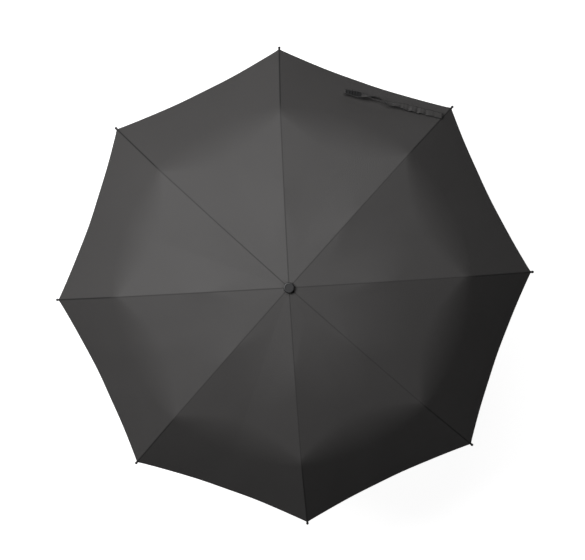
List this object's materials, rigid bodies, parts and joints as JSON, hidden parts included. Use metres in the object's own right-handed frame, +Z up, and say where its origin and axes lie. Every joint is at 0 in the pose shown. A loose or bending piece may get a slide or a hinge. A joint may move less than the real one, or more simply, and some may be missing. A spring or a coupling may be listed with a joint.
{
  "type": "folding umbrella",
  "caption": "Open compact folding umbrella with a dark grey octagonal canopy, jointed three-piece ribs, sliding runner, telescopic shaft and straight handle.",
  "frame": {"origin": "centre of the handle's flat base, on the shaft's axis", "axes": "+Z up the shaft to the ferrule, +X along rib 1, with the ribs numbered anticlockwise seen from above"},
  "size_m": [0.9676, 0.9676, 0.605],
  "materials": {
    "handle_plastic": "soft-touch matte",
    "handle_trim": "satin",
    "black_plastic": "moulded satin",
    "shaft_metal": "black anodised",
    "hinge_wire": "drawn wire",
    "canopy_cloth": "plain-weave pongee",
    "fastener": "hook-and-loop pile",
    "rib_steel": "black coated steel",
    "rib_blade": "satin",
    "rib_wire": "drawn wire",
    "tip_plastic": "moulded"
  },
  "bodies": {
    "handle": {"handle_grip": "handle_plastic", "handle_base_cap": "handle_trim", "handle_collar": "handle_plastic", "handle_rivet": "hinge_wire", "lower_tube": "shaft_metal"},
    "middle_shaft": {"middle_tube": "shaft_metal"},
    "upper_shaft": {"upper_tube": "shaft_metal", "crown": "black_plastic", "crown_hinge_wire": "hinge_wire", "ferrule_washer": "black_plastic", "ferrule_cap": "black_plastic", "canopy": "canopy_cloth"},
    "runner": {"runner": "black_plastic", "runner_hinge_wire": "hinge_wire", "button_spring": "hinge_wire"},
    "button": {"runner_button": "handle_trim"},
    "inner_rib_1": {"inner_rib_1": "rib_steel"},
    "middle_rib_1": {"middle_rib_1": "rib_blade"},
    "outer_rib_1": {"outer_rib_1": "rib_wire", "rib_tip_1": "tip_plastic"},
    "stretcher_1": {"stretcher_1": "rib_steel"},
    "inner_rib_2": {"inner_rib_2": "rib_steel"},
    "middle_rib_2": {"middle_rib_2": "rib_blade"},
    "outer_rib_2": {"outer_rib_2": "rib_wire", "rib_tip_2": "tip_plastic", "closure_strap": "canopy_cloth", "strap_fastener": "fastener"},
    "stretcher_2": {"stretcher_2": "rib_steel"},
    "inner_rib_3": {"inner_rib_3": "rib_steel"},
    "middle_rib_3": {"middle_rib_3": "rib_blade"},
    "outer_rib_3": {"outer_rib_3": "rib_wire", "rib_tip_3": "tip_plastic"},
    "stretcher_3": {"stretcher_3": "rib_steel"},
    "inner_rib_4": {"inner_rib_4": "rib_steel"},
    "middle_rib_4": {"middle_rib_4": "rib_blade"},
    "outer_rib_4": {"outer_rib_4": "rib_wire", "rib_tip_4": "tip_plastic"},
    "stretcher_4": {"stretcher_4": "rib_steel"},
    "inner_rib_5": {"inner_rib_5": "rib_steel"},
    "middle_rib_5": {"middle_rib_5": "rib_blade"},
    "outer_rib_5": {"outer_rib_5": "rib_wire", "rib_tip_5": "tip_plastic"},
    "stretcher_5": {"stretcher_5": "rib_steel"},
    "inner_rib_6": {"inner_rib_6": "rib_steel"},
    "middle_rib_6": {"middle_rib_6": "rib_blade"},
    "outer_rib_6": {"outer_rib_6": "rib_wire", "rib_tip_6": "tip_plastic"},
    "stretcher_6": {"stretcher_6": "rib_steel"},
    "inner_rib_7": {"inner_rib_7": "rib_steel"},
    "middle_rib_7": {"middle_rib_7": "rib_blade"},
    "outer_rib_7": {"outer_rib_7": "rib_wire", "rib_tip_7": "tip_plastic"},
    "stretcher_7": {"stretcher_7": "rib_steel"},
    "inner_rib_8": {"inner_rib_8": "rib_steel"},
    "middle_rib_8": {"middle_rib_8": "rib_blade"},
    "outer_rib_8": {"outer_rib_8": "rib_wire", "rib_tip_8": "tip_plastic"},
    "stretcher_8": {"stretcher_8": "rib_steel"}
  },
  "joints": [
    {"name": "middle_tube_slide", "type": "slide", "parent": "handle", "child": "middle_shaft", "axis": [0, 0, -1], "range_m": [0, 0.155]},
    {"name": "upper_tube_slide", "type": "slide", "parent": "middle_shaft", "child": "upper_shaft", "axis": [0, 0, -1], "range_m": [0, 0.155]},
    {"name": "runner_slide", "type": "slide", "parent": "upper_shaft", "child": "runner", "axis": [0, 0, -1], "range_m": [0, 0.09416], "deforming": ["canopy"]},
    {"name": "button_press", "type": "slide", "parent": "runner", "child": "button", "axis": [-0.9239, -0.3827, 0], "range_m": [0, 0.0015], "stiffness_N_per_m": 800, "springref_m": -0.001, "deforming": ["button_spring"]},
    {"name": "inner_rib_1_fold", "type": "hinge", "parent": "upper_shaft", "child": "inner_rib_1", "pos_m": [0.009, 0, 0.59], "axis": [0, 1, 0], "range_deg": [0, 80.46]},
    {"name": "middle_rib_1_fold", "type": "hinge", "parent": "inner_rib_1", "child": "middle_rib_1", "pos_m": [0.175, 0, 0.568], "axis": [0, -1, 0], "range_deg": [0, 185.37]},
    {"name": "outer_rib_1_fold", "type": "hinge", "parent": "middle_rib_1", "child": "outer_rib_1", "pos_m": [0.344, 0, 0.515], "axis": [0, 1, 0], "range_deg": [0, 155.09]},
    {"name": "stretcher_1_fold", "type": "hinge", "parent": "runner", "child": "stretcher_1", "pos_m": [0.01075, 0, 0.504], "axis": [0, -1, 0], "range_deg": [0, 43.17]},
    {"name": "inner_rib_2_fold", "type": "hinge", "parent": "upper_shaft", "child": "inner_rib_2", "pos_m": [0.00636, 0.00636, 0.59], "axis": [-0.7071, 0.7071, 0], "range_deg": [0, 80.46]},
    {"name": "middle_rib_2_fold", "type": "hinge", "parent": "inner_rib_2", "child": "middle_rib_2", "pos_m": [0.12374, 0.12374, 0.568], "axis": [0.7071, -0.7071, 0], "range_deg": [0, 185.37]},
    {"name": "outer_rib_2_fold", "type": "hinge", "parent": "middle_rib_2", "child": "outer_rib_2", "pos_m": [0.24324, 0.24324, 0.515], "axis": [-0.7071, 0.7071, 0], "range_deg": [0, 155.09], "deforming": ["closure_strap", "strap_fastener"]},
    {"name": "stretcher_2_fold", "type": "hinge", "parent": "runner", "child": "stretcher_2", "pos_m": [0.0076, 0.0076, 0.504], "axis": [0.7071, -0.7071, 0], "range_deg": [0, 43.17]},
    {"name": "inner_rib_3_fold", "type": "hinge", "parent": "upper_shaft", "child": "inner_rib_3", "pos_m": [0, 0.009, 0.59], "axis": [-1, 0, 0], "range_deg": [0, 80.46]},
    {"name": "middle_rib_3_fold", "type": "hinge", "parent": "inner_rib_3", "child": "middle_rib_3", "pos_m": [0, 0.175, 0.568], "axis": [1, 0, 0], "range_deg": [0, 185.37]},
    {"name": "outer_rib_3_fold", "type": "hinge", "parent": "middle_rib_3", "child": "outer_rib_3", "pos_m": [0, 0.344, 0.515], "axis": [-1, 0, 0], "range_deg": [0, 155.09]},
    {"name": "stretcher_3_fold", "type": "hinge", "parent": "runner", "child": "stretcher_3", "pos_m": [0, 0.01075, 0.504], "axis": [1, 0, 0], "range_deg": [0, 43.17]},
    {"name": "inner_rib_4_fold", "type": "hinge", "parent": "upper_shaft", "child": "inner_rib_4", "pos_m": [-0.00636, 0.00636, 0.59], "axis": [-0.7071, -0.7071, 0], "range_deg": [0, 80.46]},
    {"name": "middle_rib_4_fold", "type": "hinge", "parent": "inner_rib_4", "child": "middle_rib_4", "pos_m": [-0.12374, 0.12374, 0.568], "axis": [0.7071, 0.7071, 0], "range_deg": [0, 185.37]},
    {"name": "outer_rib_4_fold", "type": "hinge", "parent": "middle_rib_4", "child": "outer_rib_4", "pos_m": [-0.24324, 0.24324, 0.515], "axis": [-0.7071, -0.7071, 0], "range_deg": [0, 155.09]},
    {"name": "stretcher_4_fold", "type": "hinge", "parent": "runner", "child": "stretcher_4", "pos_m": [-0.0076, 0.0076, 0.504], "axis": [0.7071, 0.7071, 0], "range_deg": [0, 43.17]},
    {"name": "inner_rib_5_fold", "type": "hinge", "parent": "upper_shaft", "child": "inner_rib_5", "pos_m": [-0.009, 0, 0.59], "axis": [0, -1, 0], "range_deg": [0, 80.46]},
    {"name": "middle_rib_5_fold", "type": "hinge", "parent": "inner_rib_5", "child": "middle_rib_5", "pos_m": [-0.175, 0, 0.568], "axis": [0, 1, 0], "range_deg": [0, 185.37]},
    {"name": "outer_rib_5_fold", "type": "hinge", "parent": "middle_rib_5", "child": "outer_rib_5", "pos_m": [-0.344, 0, 0.515], "axis": [0, -1, 0], "range_deg": [0, 155.09]},
    {"name": "stretcher_5_fold", "type": "hinge", "parent": "runner", "child": "stretcher_5", "pos_m": [-0.01075, 0, 0.504], "axis": [0, 1, 0], "range_deg": [0, 43.17]},
    {"name": "inner_rib_6_fold", "type": "hinge", "parent": "upper_shaft", "child": "inner_rib_6", "pos_m": [-0.00636, -0.00636, 0.59], "axis": [0.7071, -0.7071, 0], "range_deg": [0, 80.46]},
    {"name": "middle_rib_6_fold", "type": "hinge", "parent": "inner_rib_6", "child": "middle_rib_6", "pos_m": [-0.12374, -0.12374, 0.568], "axis": [-0.7071, 0.7071, 0], "range_deg": [0, 185.37]},
    {"name": "outer_rib_6_fold", "type": "hinge", "parent": "middle_rib_6", "child": "outer_rib_6", "pos_m": [-0.24324, -0.24324, 0.515], "axis": [0.7071, -0.7071, 0], "range_deg": [0, 155.09]},
    {"name": "stretcher_6_fold", "type": "hinge", "parent": "runner", "child": "stretcher_6", "pos_m": [-0.0076, -0.0076, 0.504], "axis": [-0.7071, 0.7071, 0], "range_deg": [0, 43.17]},
    {"name": "inner_rib_7_fold", "type": "hinge", "parent": "upper_shaft", "child": "inner_rib_7", "pos_m": [0, -0.009, 0.59], "axis": [1, 0, 0], "range_deg": [0, 80.46]},
    {"name": "middle_rib_7_fold", "type": "hinge", "parent": "inner_rib_7", "child": "middle_rib_7", "pos_m": [0, -0.175, 0.568], "axis": [-1, 0, 0], "range_deg": [0, 185.37]},
    {"name": "outer_rib_7_fold", "type": "hinge", "parent": "middle_rib_7", "child": "outer_rib_7", "pos_m": [0, -0.344, 0.515], "axis": [1, 0, 0], "range_deg": [0, 155.09]},
    {"name": "stretcher_7_fold", "type": "hinge", "parent": "runner", "child": "stretcher_7", "pos_m": [0, -0.01075, 0.504], "axis": [-1, 0, 0], "range_deg": [0, 43.17]},
    {"name": "inner_rib_8_fold", "type": "hinge", "parent": "upper_shaft", "child": "inner_rib_8", "pos_m": [0.00636, -0.00636, 0.59], "axis": [0.7071, 0.7071, 0], "range_deg": [0, 80.46]},
    {"name": "middle_rib_8_fold", "type": "hinge", "parent": "inner_rib_8", "child": "middle_rib_8", "pos_m": [0.12374, -0.12374, 0.568], "axis": [-0.7071, -0.7071, 0], "range_deg": [0, 185.37]},
    {"name": "outer_rib_8_fold", "type": "hinge", "parent": "middle_rib_8", "child": "outer_rib_8", "pos_m": [0.24324, -0.24324, 0.515], "axis": [0.7071, 0.7071, 0], "range_deg": [0, 155.09]},
    {"name": "stretcher_8_fold", "type": "hinge", "parent": "runner", "child": "stretcher_8", "pos_m": [0.0076, -0.0076, 0.504], "axis": [-0.7071, -0.7071, 0], "range_deg": [0, 43.17]}
  ],
  "couplings": [
    {"joint": "inner_rib_1_fold", "follows": "runner_slide", "rad_per_m": 14.912},
    {"joint": "middle_rib_1_fold", "follows": "runner_slide", "rad_per_m": 34.357},
    {"joint": "outer_rib_1_fold", "follows": "runner_slide", "rad_per_m": 28.744},
    {"joint": "stretcher_1_fold", "follows": "runner_slide", "rad_per_m": 8},
    {"joint": "inner_rib_2_fold", "follows": "runner_slide", "rad_per_m": 14.912},
    {"joint": "middle_rib_2_fold", "follows": "runner_slide", "rad_per_m": 34.357},
    {"joint": "outer_rib_2_fold", "follows": "runner_slide", "rad_per_m": 28.744},
    {"joint": "stretcher_2_fold", "follows": "runner_slide", "rad_per_m": 8},
    {"joint": "inner_rib_3_fold", "follows": "runner_slide", "rad_per_m": 14.912},
    {"joint": "middle_rib_3_fold", "follows": "runner_slide", "rad_per_m": 34.357},
    {"joint": "outer_rib_3_fold", "follows": "runner_slide", "rad_per_m": 28.744},
    {"joint": "stretcher_3_fold", "follows": "runner_slide", "rad_per_m": 8},
    {"joint": "inner_rib_4_fold", "follows": "runner_slide", "rad_per_m": 14.912},
    {"joint": "middle_rib_4_fold", "follows": "runner_slide", "rad_per_m": 34.357},
    {"joint": "outer_rib_4_fold", "follows": "runner_slide", "rad_per_m": 28.744},
    {"joint": "stretcher_4_fold", "follows": "runner_slide", "rad_per_m": 8},
    {"joint": "inner_rib_5_fold", "follows": "runner_slide", "rad_per_m": 14.912},
    {"joint": "middle_rib_5_fold", "follows": "runner_slide", "rad_per_m": 34.357},
    {"joint": "outer_rib_5_fold", "follows": "runner_slide", "rad_per_m": 28.744},
    {"joint": "stretcher_5_fold", "follows": "runner_slide", "rad_per_m": 8},
    {"joint": "inner_rib_6_fold", "follows": "runner_slide", "rad_per_m": 14.912},
    {"joint": "middle_rib_6_fold", "follows": "runner_slide", "rad_per_m": 34.357},
    {"joint": "outer_rib_6_fold", "follows": "runner_slide", "rad_per_m": 28.744},
    {"joint": "stretcher_6_fold", "follows": "runner_slide", "rad_per_m": 8},
    {"joint": "inner_rib_7_fold", "follows": "runner_slide", "rad_per_m": 14.912},
    {"joint": "middle_rib_7_fold", "follows": "runner_slide", "rad_per_m": 34.357},
    {"joint": "outer_rib_7_fold", "follows": "runner_slide", "rad_per_m": 28.744},
    {"joint": "stretcher_7_fold", "follows": "runner_slide", "rad_per_m": 8},
    {"joint": "inner_rib_8_fold", "follows": "runner_slide", "rad_per_m": 14.912},
    {"joint": "middle_rib_8_fold", "follows": "runner_slide", "rad_per_m": 34.357},
    {"joint": "outer_rib_8_fold", "follows": "runner_slide", "rad_per_m": 28.744},
    {"joint": "stretcher_8_fold", "follows": "runner_slide", "rad_per_m": 8}
  ]
}
